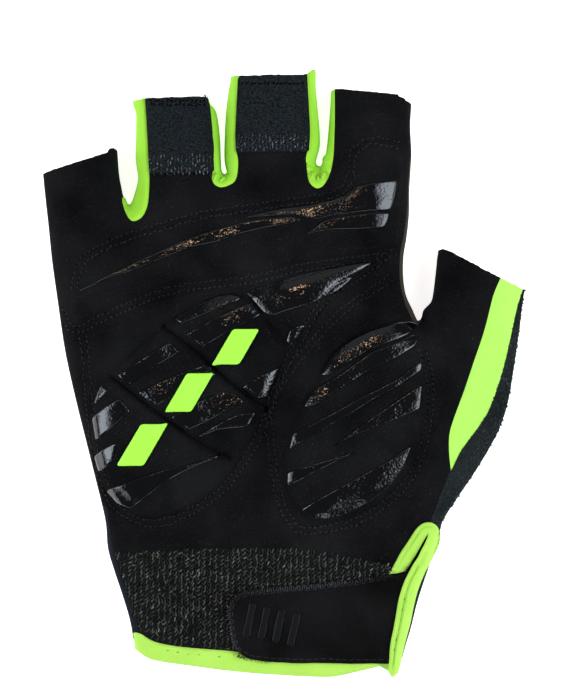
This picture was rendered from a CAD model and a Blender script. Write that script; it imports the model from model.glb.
"""Short-finger cycling glove lying palm up: its cloth, pads, print and sewing around the fixed frame."""

import bpy
import numpy as np
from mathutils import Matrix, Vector
from mathutils.geometry import delaunay_2d_cdt


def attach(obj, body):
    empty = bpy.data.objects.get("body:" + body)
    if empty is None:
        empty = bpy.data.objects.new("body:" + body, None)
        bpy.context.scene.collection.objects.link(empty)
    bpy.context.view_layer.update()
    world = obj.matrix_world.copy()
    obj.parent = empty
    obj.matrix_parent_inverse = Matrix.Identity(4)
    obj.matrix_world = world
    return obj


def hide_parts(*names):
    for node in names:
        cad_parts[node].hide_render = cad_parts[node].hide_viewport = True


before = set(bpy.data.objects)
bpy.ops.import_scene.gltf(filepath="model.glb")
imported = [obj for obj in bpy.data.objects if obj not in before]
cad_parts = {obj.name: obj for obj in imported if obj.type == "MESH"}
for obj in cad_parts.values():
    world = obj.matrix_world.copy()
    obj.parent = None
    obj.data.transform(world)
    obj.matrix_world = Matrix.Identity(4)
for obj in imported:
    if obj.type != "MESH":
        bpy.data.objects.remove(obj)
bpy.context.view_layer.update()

# Lengths are millimetres until a mesh is made. A plan place is a point of the picture, so many
# millimetres to one, counted from the middle of the hand.
POINT = 0.27
MIDDLE = (284.0, 377.5)
SEAM = 6.8  # side seams above the table
WALL = 1.1
ROUND_FRONT = 12.5  # how far in from a side the palm keeps rising
ROUND_BACK = 7.0
SQUARE_FRONT = 2.3  # 2 is an ellipse, more is boxier
SQUARE_BACK = 2.6
STEP = 0.75  # spacing of the skin's points
EDGE_ROWS = (0.03, 0.13, 0.33, 0.63, 1.06, 1.6, 2.3)  # rows of points inside the outline
HONEYCOMB_ROW = 0.866  # one row to the next, as a share of the spacing
RELIEF_FADE = 2.5  # how far in from a side the palm's relief reaches its full height
MM = 0.001  # metres
BLOCK = 4000  # places worked on together
TINY = 1e-12

rng = np.random.default_rng(7)


# --- plan geometry ---
def at(points):
    """Picture points as plan places in millimetres."""
    places = np.asarray(points, float)
    return np.column_stack([(places[:, 0] - MIDDLE[0]) * POINT, (MIDDLE[1] - places[:, 1]) * POINT])


def plan_x(column):
    return at([(column, 0)])[0, 0]


def plan_y(row):
    return at([(0, row)])[0, 1]


def spaced(line, step, closed=False):
    """The same line with points an even step apart."""
    if closed:
        line = np.vstack([line, line[:1]])
    run = np.r_[0, np.cumsum(np.hypot(*np.diff(line, axis=0).T))]
    count = max(int(round(run[-1] / step)), 2)
    places = np.linspace(0, run[-1], count + 1)
    if closed:
        places = places[:-1]
    return np.column_stack([np.interp(places, run, line[:, i]) for i in range(line.shape[1])])


def smooth(points, step=0.6, closed=False):
    """A smooth line through picture points, in millimetres."""
    line = at(points)
    if closed:
        line = np.vstack([line[-1], line, line[:2]])
    else:
        line = np.vstack([2 * line[0] - line[1], line, 2 * line[-1] - line[-2]])
    t = np.linspace(0, 1, 12, endpoint=False)[:, None]
    runs = []
    for a, b, c, d in zip(line, line[1:], line[2:], line[3:]):
        runs.append(0.5 * (2 * b + (c - a) * t + (2 * a - 5 * b + 4 * c - d) * t**2 + (3 * b - 3 * c + d - a) * t**3))
    if not closed:
        runs.append(line[-2:-1])
    return spaced(np.vstack(runs), step, closed)


def straight(points, step=0.6, closed=False):
    """A line through picture points with its corners kept and points along each side."""
    line = at(points)
    ends = np.vstack([line, line[:1]]) if closed else line
    parts = []
    for a, b in zip(ends, ends[1:]):
        count = max(int(round(np.hypot(*(b - a)) / step)), 1)
        parts.append(a + (b - a) * (np.arange(count) / count)[:, None])
    if not closed:
        parts.append(ends[-1:])
    return np.vstack(parts)


def rounded(points, radius, step=0.4):
    """A closed outline in millimetres whose corners are rounded."""
    parts = []
    count = len(points)
    for i in range(count):
        corner = points[i]
        back = points[i - 1] - corner
        ahead = points[(i + 1) % count] - corner
        cut = min(radius, 0.45 * np.hypot(*back), 0.45 * np.hypot(*ahead))
        a = corner + back / np.hypot(*back) * cut
        b = corner + ahead / np.hypot(*ahead) * cut
        t = np.linspace(0, 1, 6)[:, None]
        parts.append((1 - t) ** 2 * a + 2 * t * (1 - t) * corner + t**2 * b)
    return spaced(np.vstack(parts), step, closed=True)


def gaps_to(places, line):
    """For one block of places after another, the gap from each place to each stretch of a line."""
    start, run = line[:-1], np.diff(line, axis=0)
    span = np.maximum((run**2).sum(1), TINY)
    for low in range(0, len(places), BLOCK):
        block = slice(low, low + BLOCK)
        gap = places[block][:, None, :] - start[None]
        share = np.clip((gap * run[None]).sum(2) / span, 0, 1)
        yield block, gap - share[..., None] * run[None]


def distance(places, line, closed=False):
    """How far each place is from a line."""
    if closed:
        line = np.vstack([line, line[:1]])
    nearest = np.empty(len(places))
    for block, gap in gaps_to(places, line):
        nearest[block] = np.sqrt((gap**2).sum(2).min(1))
    return nearest


def toward(places, line, side):
    """How far each place is from a side line, and the direction in from the line."""
    run = np.diff(line, axis=0)
    inward = side * np.column_stack([-run[:, 1], run[:, 0]]) / np.sqrt(np.maximum((run**2).sum(1), TINY))[:, None]
    far, way = np.empty(len(places)), np.empty((len(places), 2))
    for block, gap in gaps_to(places, line):
        square = (gap**2).sum(2)
        nearest = square.argmin(1)
        row = np.arange(len(gap))
        away, own = gap[row, nearest], np.sqrt(square[row, nearest])
        normal = inward[nearest]
        close = (own < 0.02) | ((own < 1.5) & ((away * normal).sum(1) < 0))
        way[block] = np.where(close[:, None], normal, away / np.maximum(own, 1e-9)[:, None])
        far[block] = np.where(close & (own >= 0.02), 1e-4, np.maximum(own, 1e-4))
    return far, way


def midway(row):
    return (row[1:] + row[:-1]) / 2


def beside_of(line):
    """The unit direction square to a line at each of its points."""
    run = np.gradient(line, axis=0)
    run /= np.hypot(*run.T)[:, None]
    return np.column_stack([-run[:, 1], run[:, 0]])


def inside(places, loop):
    """Whether each place lies inside a closed line."""
    within = np.zeros(len(places), bool)
    x, y = places[:, 0], places[:, 1]
    before = np.roll(loop, 1, axis=0)
    for (ax, ay), (bx, by) in zip(before, loop):
        if ay == by:
            continue
        crosses = (ay > y) != (by > y)
        within ^= crosses & (x < (bx - ax) * (y - ay) / (by - ay) + ax)
    return within


def ease(low, high, value):
    t = np.clip((value - low) / (high - low), 0, 1)
    return t * t * (3 - 2 * t)


# --- the glove's outline ---
LITTLE_SIDE = [
    (42, 120), (42.5, 150), (43, 174), (45.5, 200), (48, 222), (52, 261), (57, 297), (64, 345), (70, 375), (77, 405),
    (86, 441), (95, 477), (102, 505), (106, 525), (108, 549), (115, 573), (123, 597), (130, 621), (134, 645),
    (137, 665), (141, 700), (145, 730),
]
LITTLE_RING = [
    (115, 120), (117.3, 150.5), (119, 174), (121.5, 188), (123.4, 196.5), (126, 199), (127.2, 203), (129.5, 204.8),
    (132.6, 199.5), (136.3, 187), (138, 178), (136.7, 168), (135.5, 155.7), (136, 126), (135.8, 113), (132.6, 101.3),
    (131, 70),
]
RING_MIDDLE = [
    (207, 70), (211, 100), (216.8, 114), (219.8, 136), (220.9, 160), (221.6, 170.5), (224.3, 174.2), (227, 172.2),
    (225.6, 167.5), (224.3, 156), (224.9, 132), (226, 113), (228.4, 92), (230.8, 76.3), (232, 40),
]
MIDDLE_INDEX = [
    (313.5, 40), (315.8, 70), (315.8, 85), (316.9, 100), (319.6, 130), (319.8, 146), (317.3, 156), (315.8, 162),
    (317.6, 165.6), (320.8, 166), (322.4, 162), (322.6, 157), (326, 152.3), (329, 124), (330.9, 91.5), (331, 60),
]
INDEX_THUMB = [
    (411.8, 72), (411.4, 104), (410.2, 126), (411.4, 152), (410.6, 170), (409.4, 189), (409, 215), (406.5, 238),
    (403.6, 256), (403.2, 276), (406, 295), (412.5, 309.5), (416.6, 319), (419, 321), (421.8, 317), (423, 311),
    (426.5, 306.8), (431, 302), (433.3, 293), (435.8, 272), (438.6, 250), (447, 225),
]
THUMB_SIDE = [
    (535, 264), (525.1, 289.4), (519.2, 332.3), (512.1, 380.5), (507.5, 404.5), (499.5, 428.6), (487, 452.7),
    (472.1, 476.4), (455.9, 500.5), (443, 521), (437, 543), (427.3, 572), (421.2, 590), (416.4, 606), (411, 628),
    (405, 648), (400.5, 668), (396, 700), (392, 730),
]
SIDE_LINES = (LITTLE_SIDE, LITTLE_RING, RING_MIDDLE, MIDDLE_INDEX, INDEX_THUMB, THUMB_SIDE)
SIDES = [smooth(line, 1.0) for line in SIDE_LINES]
SIDE_SIGNS = (1, -1, -1, -1, -1, -1)
MOUTHS = [
    [(43, 174), (48, 171.6), (80, 161.5), (110, 152), (113.5, 147.8), (117.3, 150.5)],
    [(132.6, 101.3), (144, 98.6), (175, 97.6), (206, 96.5), (208.5, 99), (211, 105)],
    [(230.8, 76.3), (238, 76), (272, 75.4), (305, 75), (311, 72.5), (315.8, 69.5)],
    [(330.9, 91.5), (335, 88.8), (352, 90.4), (376, 92.7), (397, 95), (404, 98.6), (411.4, 104)],
    [(438.1, 250.5), (443, 248.6), (470, 262), (499, 277.5), (525.1, 290.3)],
]
WRIST_LINE = [
    (135, 641), (151, 649), (196, 657), (227, 660), (311, 666), (340, 666), (366, 661), (382, 657), (399.5, 660),
]


def between(line, start, end):
    """The stretch of a side line between two picture points."""
    a, b = at([start, end])
    first = int(np.argmin(np.hypot(*(line - a).T)))
    last = int(np.argmin(np.hypot(*(line - b).T)))
    part = line[first : last + 1] if first < last else line[last : first + 1][::-1]
    part = part.copy()
    part[0], part[-1] = a, b
    return part


def glove_outline(step=0.8):
    """The closed outline: up each side line, then across the mouth that follows it, with slightly uneven cuts."""
    sides = [smooth(line, step) for line in SIDE_LINES]
    loop = [between(sides[0], WRIST_LINE[0], MOUTHS[0][0])]
    for i, mouth in enumerate(MOUTHS):
        last = WRIST_LINE[-1] if i == len(MOUTHS) - 1 else MOUTHS[i + 1][0]
        edge = straight(mouth, step)
        edge[1:-1] += rng.normal(0, 0.07, edge[1:-1].shape)
        loop.append(edge[1:-1])
        loop.append(between(sides[i + 1], mouth[-1], last))
    loop.append(straight(WRIST_LINE[::-1], step)[1:-1])
    return np.vstack(loop)


OUTLINE = glove_outline()


# --- the skin's height ---
def side_depth(places):
    """How far in from the sides of the glove, with the nearest sides blended, and its slope."""
    near = [toward(places, line, side) for line, side in zip(SIDES, SIDE_SIGNS)]
    depth = sum(far**-5.0 for far, _ in near) ** -0.2
    return depth, sum((depth / far)[:, None] ** 6 * way for far, way in near)


# Rise of the palm over the side seam: picture point, then millimetres.
RISES = np.array([
    (150, 690, 4.0), (284, 695, 4.4), (390, 690, 4.0), (128, 610, 5.0), (284, 612, 5.8), (400, 610, 5.0),
    (110, 540, 7.4), (284, 540, 9.4), (420, 540, 7.4), (90, 460, 9.4), (284, 460, 11.6), (450, 460, 9.0),
    (80, 370, 10.0), (284, 370, 12.0), (470, 390, 9.2), (60, 280, 9.0), (284, 290, 11.2), (400, 280, 10.0),
    (50, 210, 7.2), (170, 210, 8.6), (270, 205, 9.0), (370, 200, 8.8), (80, 160, 6.6), (175, 120, 6.6),
    (270, 100, 6.6), (372, 120, 6.6), (470, 320, 8.4), (490, 265, 7.6),
])
RISE_PLACES = at(RISES[:, :2])
RISE_REACH = 17.0


def full_rise(places):
    """How far the palm rises over the side seam, well in from the sides."""
    away = ((places[:, None, :] - RISE_PLACES[None]) ** 2).sum(2)
    weight = np.exp(-away / (2 * RISE_REACH**2)) + 1e-12
    return (weight * RISES[:, 2]).sum(1) / weight.sum(1)


def profile(share, square):
    """A rounded shoulder from 0 to 1."""
    share = np.clip(share, 0, 1)
    return (1 - (1 - share) ** square) ** (1 / square)


# Low relief is worked out once on a fine grid and read from it.
GRID = 0.3
GRID_X = np.arange(-72, 74, GRID)
GRID_Y = np.arange(-92, 96, GRID)
relief = np.zeros((len(GRID_Y), len(GRID_X)))


def window(line, reach):
    """The part of the relief near a line: its index, its places and its shape."""
    low, high = line.min(0) - reach, line.max(0) + reach
    columns = np.where((GRID_X >= low[0]) & (GRID_X <= high[0]))[0]
    rows = np.where((GRID_Y >= low[1]) & (GRID_Y <= high[1]))[0]
    x, y = np.meshgrid(GRID_X[columns], GRID_Y[rows])
    return np.ix_(rows, columns), np.column_stack([x.ravel(), y.ravel()]), x.shape


def press(line, depth, width, closed=False):
    """Sinks a soft valley along a line."""
    place, points, shape = window(line, 3 * width)
    relief[place] -= depth * np.exp(-((distance(points, line, closed) / width) ** 2)).reshape(shape)


def puff(loop, height, shoulder):
    """Raises what a closed line holds, over a soft shoulder."""
    place, points, shape = window(loop, 1)
    depth = np.where(inside(points, loop), distance(points, loop, closed=True), 0)
    relief[place] += height * profile(depth / shoulder, 2.0).reshape(shape)


def read_relief(places):
    """The relief between its grid points."""
    column = np.clip((places[:, 0] - GRID_X[0]) / GRID, 0, len(GRID_X) - 1.001)
    row = np.clip((places[:, 1] - GRID_Y[0]) / GRID, 0, len(GRID_Y) - 1.001)
    i, j = row.astype(int), column.astype(int)
    v, u = row - i, column - j
    near = relief[i, j] * (1 - u) + relief[i, j + 1] * u
    far = relief[i + 1, j] * (1 - u) + relief[i + 1, j + 1] * u
    return near * (1 - v) + far * v


def waves(places, size, count, seed):
    """Smooth seeded unevenness between about -1 and 1."""
    draw = np.random.default_rng(seed)
    total = np.zeros(len(places))
    for _ in range(count):
        turn = draw.uniform(0, 2 * np.pi)
        pitch = 2 * np.pi / (size * draw.uniform(0.7, 1.6))
        total += np.sin((places @ [np.cos(turn), np.sin(turn)]) * pitch + draw.uniform(0, 2 * np.pi))
    return total / np.sqrt(count)


def lay(places, lift=0.0, back=False, upright=False):
    """Points on the skin over plan places, raised off it by lift, with the skin's normals."""
    places = np.asarray(places, float)
    depth, lean = side_depth(places)
    reach, square = (ROUND_BACK, SQUARE_BACK) if back else (ROUND_FRONT, SQUARE_FRONT)
    share = np.clip(depth / reach, 0, 1)
    top = np.full(len(places), SEAM) if back else full_rise(places)
    shape = profile(share, square)
    inner = np.maximum(1 - (1 - share) ** square, 1e-5)
    slope = top / reach * (1 - share) ** (square - 1) * inner ** (1 / square - 1)
    fade = ease(0.0, RELIEF_FADE, depth)
    if back:
        height = SEAM - top * shape
        bumps = np.zeros((len(places), 2))
        slope = -slope
    else:
        height = SEAM + top * shape + read_relief(places) * fade
        bumps = np.column_stack([
            (read_relief(places + nudge) - read_relief(places - nudge)) / (2 * GRID)
            for nudge in ([GRID, 0], [0, GRID])
        ]) * fade[:, None]
    normal = np.column_stack([-(lean * slope[:, None] + bumps), np.ones(len(places))])
    if back:
        normal = -normal
    normal /= np.linalg.norm(normal, axis=1)[:, None]
    points = np.column_stack([places, height])
    points += normal * np.broadcast_to(np.asarray(lift, float), len(places))[:, None]
    if upright:
        points[:, :2] = places
    return points, normal


# --- meshes ---
def millimetres(points):
    return np.asarray(points, float) * MM


def new_piece(name, points, faces, material, slot, replaces=(), smooth_angle=50):
    mesh = bpy.data.meshes.new(name)
    mesh.from_pydata(millimetres(points).tolist(), [], [list(map(int, face)) for face in faces])
    mesh.polygons.foreach_set("use_smooth", [True] * len(mesh.polygons))
    mesh.set_sharp_from_angle(angle=np.radians(smooth_angle))
    mesh.materials.append(material)
    piece = bpy.data.objects.new(name, mesh)
    bpy.context.scene.collection.objects.link(piece)
    return settle(piece, slot, replaces)


def settle(piece, slot, replaces=()):
    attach(piece, "root")
    if replaces:
        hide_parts(*replaces)
    return piece


def triangulated(points, edges):
    """Triangles over plan points with the given edges kept."""
    corners, sides = [Vector(point) for point in points], [list(map(int, edge)) for edge in edges]
    result = delaunay_2d_cdt(corners, sides, [], 0, 1e-6)
    places = np.array([tuple(vertex) for vertex in result[0]])
    faces = np.array([face for face in result[2] if len(face) == 3], int)
    a, b, c = (places[faces[:, i]] for i in range(3))
    turn = (b[:, 0] - a[:, 0]) * (c[:, 1] - a[:, 1]) - (b[:, 1] - a[:, 1]) * (c[:, 0] - a[:, 0])
    faces[turn < 0] = faces[turn < 0][:, ::-1]
    return places, faces[np.abs(turn) > 1e-7]


def compact(faces, *tables):
    """The faces renumbered without unused points, and the rows of each table that they use."""
    used, numbers = np.unique(faces, return_inverse=True)
    return numbers.reshape(faces.shape), *(table[used] for table in tables)


def honeycomb(low, high, step):
    x = np.arange(low[0], high[0] + step, step)
    y = np.arange(low[1], high[1] + step, step * HONEYCOMB_ROW)
    grid_x, grid_y = np.meshgrid(x, y)
    grid_x = grid_x + np.where(np.arange(len(y)) % 2, step / 2, 0)[:, None]
    return np.column_stack([grid_x.ravel(), grid_y.ravel()])


def ring_edges(count, first):
    index = np.arange(count) + first
    return np.column_stack([index, np.roll(index, -1)])


def rows_inside(loop, offsets):
    """Points beside a closed line, at small distances inside it."""
    run = np.roll(loop, -1, axis=0) - np.roll(loop, 1, axis=0)
    run /= np.maximum(np.hypot(*run.T), 1e-9)[:, None]
    area = (loop[:, 0] * np.roll(loop[:, 1], -1) - np.roll(loop[:, 0], -1) * loop[:, 1]).sum()
    inward = np.column_stack([-run[:, 1], run[:, 0]]) * np.sign(area)
    rows = []
    for offset in offsets:
        row = loop + inward * offset
        kept = inside(row, loop) & (distance(row, loop, closed=True) > 0.85 * offset)
        rows.append(row[kept])
    return np.vstack(rows)


def thicken(points, faces, normals, wall):
    """A sheet given a wall on its inner side, with its edges closed."""
    count = len(points)
    edges = np.vstack([faces[:, [0, 1]], faces[:, [1, 2]], faces[:, [2, 0]]])
    key = np.sort(edges, axis=1)
    _, first, number = np.unique(key, axis=0, return_index=True, return_counts=True)
    border = edges[first[number == 1]]
    inner = points - normals * wall
    rim = np.column_stack([border[:, 1], border[:, 0], border[:, 0] + count, border[:, 1] + count])
    return np.vstack([points, inner]), [*faces.tolist(), *(faces[:, ::-1] + count).tolist(), *rim.tolist()]


def plate(name, loop, low, high, edge, material, slot, replaces=(), spacing=0.6, upright=False):
    """A thin closed piece lying on the palm between two lifts, with a rounded border."""
    rows = rows_inside(loop, [edge * share for share in (0.07, 0.3, 0.65, 1.0)])
    grid = honeycomb(loop.min(0), loop.max(0), spacing)
    grid = grid[inside(grid, loop)]
    grid = grid[distance(grid, loop, closed=True) > edge + 0.4 * spacing]
    places, faces = triangulated(np.vstack([loop, rows, grid]), ring_edges(len(loop), 0))
    faces, places = compact(faces[inside(places[faces].mean(1), loop)], places)
    depth = distance(places, loop, closed=True)
    middle, bulge = (low + high) / 2, profile(depth / edge, 2.0)
    upper, lower = (lay(places, middle + (side - middle) * bulge, upright=upright)[0] for side in (high, low))
    own = np.arange(len(places))
    below = np.where(depth < 1e-4, own, own + len(places))
    faces, points = compact(np.vstack([faces, below[faces[:, ::-1]]]), np.vstack([upper, lower]))
    return new_piece(name, points, faces, material, slot, replaces)


def bar(centre, along, across):
    """The corners of a bar from half its length and half its width, as plan vectors."""
    return np.array([centre + along * a + across * b for a, b in ((-1, -1), (-1, 1), (1, 1), (1, -1))])


def tape(name, rows, middle, thick, material, slot, replaces=(), grooves=(), back=False, crumple=0.0, sides=28):
    """A folded tape that follows the skin. Each row: picture point, half width, lift, depth of each groove."""
    rows = np.asarray(rows, float)
    line = smooth(rows[:, :2], 0.45)
    run = np.r_[0, np.cumsum(np.hypot(*np.diff(line, axis=0).T))]
    nearest = [run[np.argmin(np.hypot(*(line - place).T))] for place in at(rows[:, :2])]
    values = np.column_stack([np.interp(run, nearest, column) for column in rows[:, 2:].T])
    across = beside_of(line)
    angles = 2 * np.pi * np.arange(sides) / sides
    reach = np.sign(np.cos(angles)) * np.abs(np.cos(angles)) ** 0.75
    rise = np.sign(np.sin(angles)) * np.abs(np.sin(angles)) ** 0.85
    places = (line[:, None, :] + across[:, None, :] * (reach[None, :, None] * values[:, None, :1])).reshape(-1, 2)
    lifted = middle + values[:, 1:2] + thick / 2 * rise[None]
    for i, groove in enumerate(grooves):
        lifted = lifted - values[:, 2 + i : 3 + i] * (np.exp(-(((reach - groove) / 0.16) ** 2)) * (rise > 0))[None]
    lifted = lifted.ravel() + crumple * waves(places, 2.6, 7, 11) * np.tile(rise > 0.1, len(line))
    points, _ = lay(places, lifted, back, upright=True)
    points[:, 2] = np.maximum(points[:, 2], 0.02)
    faces = []
    for i in range(len(line) - 1):
        a, b = i * sides, (i + 1) * sides
        for j in range(sides):
            k = (j + 1) % sides
            faces.append((a + j, b + j, b + k, a + k))
    faces.append(tuple(range(sides)))
    faces.append(tuple(range(len(points) - 1, len(points) - 1 - sides, -1)))
    if back:
        faces = [face[::-1] for face in faces]
    return new_piece(name, points, faces, material, slot, replaces, 60)


# --- sewing, loops and tufts ---
def maker(tree):
    """A shorthand that adds a node with its settings, and a value or a link at each input named."""

    def add(kind, inputs=None, **settings):
        node = tree.nodes.new(kind)
        for label, value in settings.items():
            setattr(node, label, value)
        for label, value in (inputs or {}).items():
            if isinstance(value, bpy.types.NodeSocket):
                tree.links.new(value, node.inputs[label])
            else:
                node.inputs[label].default_value = value
        return node

    return add


def sockets(tree, way, rows):
    """Gives a node tree its inputs or outputs: name, kind and first value."""
    for label, kind, value in rows:
        socket = tree.interface.new_socket(label, in_out=way, socket_type="NodeSocket" + kind)
        if value is not None:
            socket.default_value = value


def times(add, a, b):
    """The output of a node that multiplies two values."""
    return add("ShaderNodeMath", {0: a, 1: b}, operation="MULTIPLY").outputs[0]


def thread_tree():
    """Small bent threads, one on each point, laid along one attribute and standing out along another."""
    tree = bpy.data.node_groups.new("bent_threads", "GeometryNodeTree")
    sockets(tree, "INPUT", (
        ("Points", "Geometry", None), ("Thread length", "Float", 0.001), ("Bend height", "Float", 0.0003),
        ("Thread radius", "Float", 0.0001), ("Bend steps", "Int", 5), ("Thread sides", "Int", 6),
        ("Finish", "Material", None)))
    sockets(tree, "OUTPUT", [("Threads", "Geometry", None)])
    add = maker(tree)
    given = add("NodeGroupInput").outputs

    def read(label):
        return add("GeometryNodeInputNamedAttribute", {"Name": label}, data_type="FLOAT_VECTOR").outputs["Attribute"]

    half, sunk = times(add, given["Thread length"], 0.5), times(add, given["Thread radius"], -1.2)
    corners = {"Start": {"X": times(add, half, -1.0), "Z": sunk},
               "Middle": {"Z": times(add, given["Bend height"], 2.0)}, "End": {"X": half, "Z": sunk}}
    bend = add("GeometryNodeCurveQuadraticBezier", {"Resolution": given["Bend steps"]} | {
        label: add("ShaderNodeCombineXYZ", place).outputs[0] for label, place in corners.items()})
    ring = add("GeometryNodeCurvePrimitiveCircle",
               {"Resolution": given["Thread sides"], "Radius": given["Thread radius"]})
    sweep = add("GeometryNodeCurveToMesh",
                {"Curve": bend.outputs[0], "Profile Curve": ring.outputs[0], "Fill Caps": True})
    turn = add("FunctionNodeAxesToRotation", {"Primary Axis": read("out"), "Secondary Axis": read("along")},
               primary_axis="Z", secondary_axis="X")
    seats = add("GeometryNodeInstanceOnPoints",
                {"Points": given["Points"], "Instance": sweep.outputs[0], "Rotation": turn.outputs[0]})
    real = add("GeometryNodeRealizeInstances", {0: seats.outputs[0]})
    shade = add("GeometryNodeSetShadeSmooth", {0: real.outputs[0]})
    finish = add("GeometryNodeSetMaterial", {"Geometry": shade.outputs[0], "Material": given["Finish"]})
    add("NodeGroupOutput", {0: finish.outputs[0]})
    return tree


def threads(name, points, along, out, length, height, radius, material, slot, replaces=(), steps=5, sides=6):
    """A piece of many small threads from the thread tree: length, bend height and radius in millimetres."""
    mesh = bpy.data.meshes.new(name)
    mesh.from_pydata(millimetres(points).tolist(), [], [])
    for label, values in (("along", along), ("out", out)):
        attribute = mesh.attributes.new(label, "FLOAT_VECTOR", "POINT")
        attribute.data.foreach_set("vector", np.asarray(values, np.float32).ravel())
    seat = bpy.data.objects.new(name + "_seat", mesh)
    bpy.context.scene.collection.objects.link(seat)
    modifier = seat.modifiers.new("threads", "NODES")
    modifier.node_group = THREAD_TREE
    sizes = {"Thread length": length * MM, "Bend height": height * MM, "Thread radius": radius * MM,
             "Bend steps": steps, "Thread sides": sides, "Finish": material}
    for socket in THREAD_TREE.interface.items_tree:
        if socket.in_out == "INPUT" and socket.name in sizes:
            modifier[socket.identifier] = sizes[socket.name]
    seat.update_tag()
    graph = bpy.context.evaluated_depsgraph_get()
    graph.update()
    made = bpy.data.meshes.new_from_object(seat.evaluated_get(graph))
    made.name = name
    bpy.data.objects.remove(seat)
    piece = bpy.data.objects.new(name, made)
    bpy.context.scene.collection.objects.link(piece)
    return settle(piece, slot, replaces)


def aim(places, runs, lift=0.0, upright=False):
    """Seats on the skin for threads that run in the given plan directions."""
    runs = np.broadcast_to(np.asarray(runs, float), np.shape(places))
    points, out = lay(places, lift, upright=upright)
    ahead, _ = lay(places + runs * 0.3, lift, upright=upright)
    return points, ahead - points, out


def turned(count, middle, spread):
    """Plan directions about one angle."""
    angles = np.radians(middle) + rng.normal(0, 1, count) * np.radians(spread)
    return np.column_stack([np.cos(angles), np.sin(angles)])


def stitches_along(lines, pitch, lift, jitter, slant=0.0):
    """Seats for rows of stitches along plan lines, where they are clear of the glove's sides."""
    places, runs = [], []
    for line in lines:
        row = spaced(line, pitch)
        places.append(midway(row) + rng.normal(0, jitter, (len(row) - 1, 2)))
        runs.append(np.diff(row, axis=0))
    places, runs = np.vstack(places), np.vstack(runs)
    runs /= np.hypot(*runs.T)[:, None]
    runs = runs * np.cos(slant) + np.column_stack([-runs[:, 1], runs[:, 0]]) * np.sin(slant)
    kept = inside(places, OUTLINE)
    kept[kept] = side_depth(places[kept])[0] > 0.9
    return aim(places[kept], runs[kept], lift)


# --- materials ---
def new_material(name):
    material = bpy.data.materials.new(name)
    material.use_nodes = True
    tree = material.node_tree
    return material, tree, tree.nodes["Principled BSDF"]


def blend(add, share, dark, light):
    """The output of a node that mixes two tints."""
    return add("ShaderNodeMix", {"Factor": share, 6: dark, 7: light}, data_type="RGBA").outputs[2]


def grain_group():
    """Cloth grain: a mottled tint, a roughness and a bumped normal from noise at two scales."""
    group = bpy.data.node_groups.new("cloth_grain", "ShaderNodeTree")
    sockets(group, "INPUT", (
        ("Base tint", "Color", (0.02, 0.02, 0.02, 1)), ("Light tint", "Color", (0.05, 0.05, 0.05, 1)),
        ("Fibre scale", "Float", 3000.0), ("Mottle scale", "Float", 60.0), ("Fleck", "Float", 0.5),
        ("Bump height", "Float", 0.0001), ("Rough low", "Float", 0.8), ("Rough high", "Float", 1.0)))
    sockets(group, "OUTPUT", (("Tint", "Color", None), ("Roughness", "Float", None), ("Normal", "Vector", None)))
    add = maker(group)
    given, place = add("NodeGroupInput").outputs, add("ShaderNodeTexCoord").outputs["Object"]
    fibre, mottle = (
        add("ShaderNodeTexNoise", {"Vector": place, "Scale": given[label], "Detail": detail}).outputs["Fac"]
        for label, detail in (("Fibre scale", 3.0), ("Mottle scale", 2.0)))
    shine = add("ShaderNodeMapRange", {"Value": fibre, "From Min": 0.56, "From Max": 0.76})
    flecks = times(add, shine.outputs[0], given["Fleck"])
    patch = add("ShaderNodeMapRange", {"Value": mottle, "From Min": 0.3, "From Max": 0.7, "To Max": 0.35})
    share = add("ShaderNodeMath", {0: flecks, 1: patch.outputs[0]}, operation="ADD", use_clamp=True)
    rough = add("ShaderNodeMapRange", {"Value": mottle, "To Min": given["Rough low"], "To Max": given["Rough high"]})
    bump = add("ShaderNodeBump", {"Distance": given["Bump height"], "Height": fibre})
    add("NodeGroupOutput", {"Tint": blend(add, share.outputs[0], given["Base tint"], given["Light tint"]),
                            "Roughness": rough.outputs[0], "Normal": bump.outputs[0]})
    return group


def cloth(name, base, light, fibre=3000, mottle=60, fleck=0.4, height=0.00012, rough=(0.8, 1.0), specular=0.3):
    """A fabric or a yarn: its dark and light tints, then its grain."""
    material, tree, shader = new_material(name)
    grain = maker(tree)("ShaderNodeGroup", {
        "Base tint": (*base, 1), "Light tint": (*light, 1), "Fibre scale": fibre, "Mottle scale": mottle,
        "Fleck": fleck, "Bump height": height, "Rough low": rough[0], "Rough high": rough[1]}, node_tree=GRAIN)
    for output, socket in (("Tint", "Base Color"), ("Roughness", "Roughness"), ("Normal", "Normal")):
        tree.links.new(grain.outputs[output], shader.inputs[socket])
    shader.inputs["Specular IOR Level"].default_value = specular
    return material


def ribbed(material, dark, light, pitch, depth):
    """Adds fine ribs across a cloth, square to the fingers, with a broken weave along them."""
    tree = material.node_tree
    add, shader = maker(tree), tree.nodes["Principled BSDF"]
    place = add("ShaderNodeTexCoord").outputs["Object"]
    ribs = add("ShaderNodeTexWave", {"Vector": place, "Scale": BAND_SCALE / pitch, "Distortion": 2.5,
                                     "Detail Scale": 900}, bands_direction="Y")
    split = add("ShaderNodeMapping", {"Vector": place, "Scale": (1700, 2400, 1700)})
    weave = add("ShaderNodeTexNoise", {"Vector": split.outputs[0], "Detail": 3, "Scale": 1.0})
    soft = add("ShaderNodeMapRange", {"Value": ribs.outputs["Fac"], "To Min": 0.55})
    strong = add("ShaderNodeMapRange", {"Value": weave.outputs["Fac"], "From Min": 0.35, "From Max": 0.7})
    both = times(add, soft.outputs[0], strong.outputs[0])
    bump = add("ShaderNodeBump", {"Distance": depth, "Height": both})
    tree.links.new(bump.outputs[0], shader.inputs["Normal"])
    tree.links.new(blend(add, both, (*dark, 1), (*light, 1)), shader.inputs["Base Color"])
    return material


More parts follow.
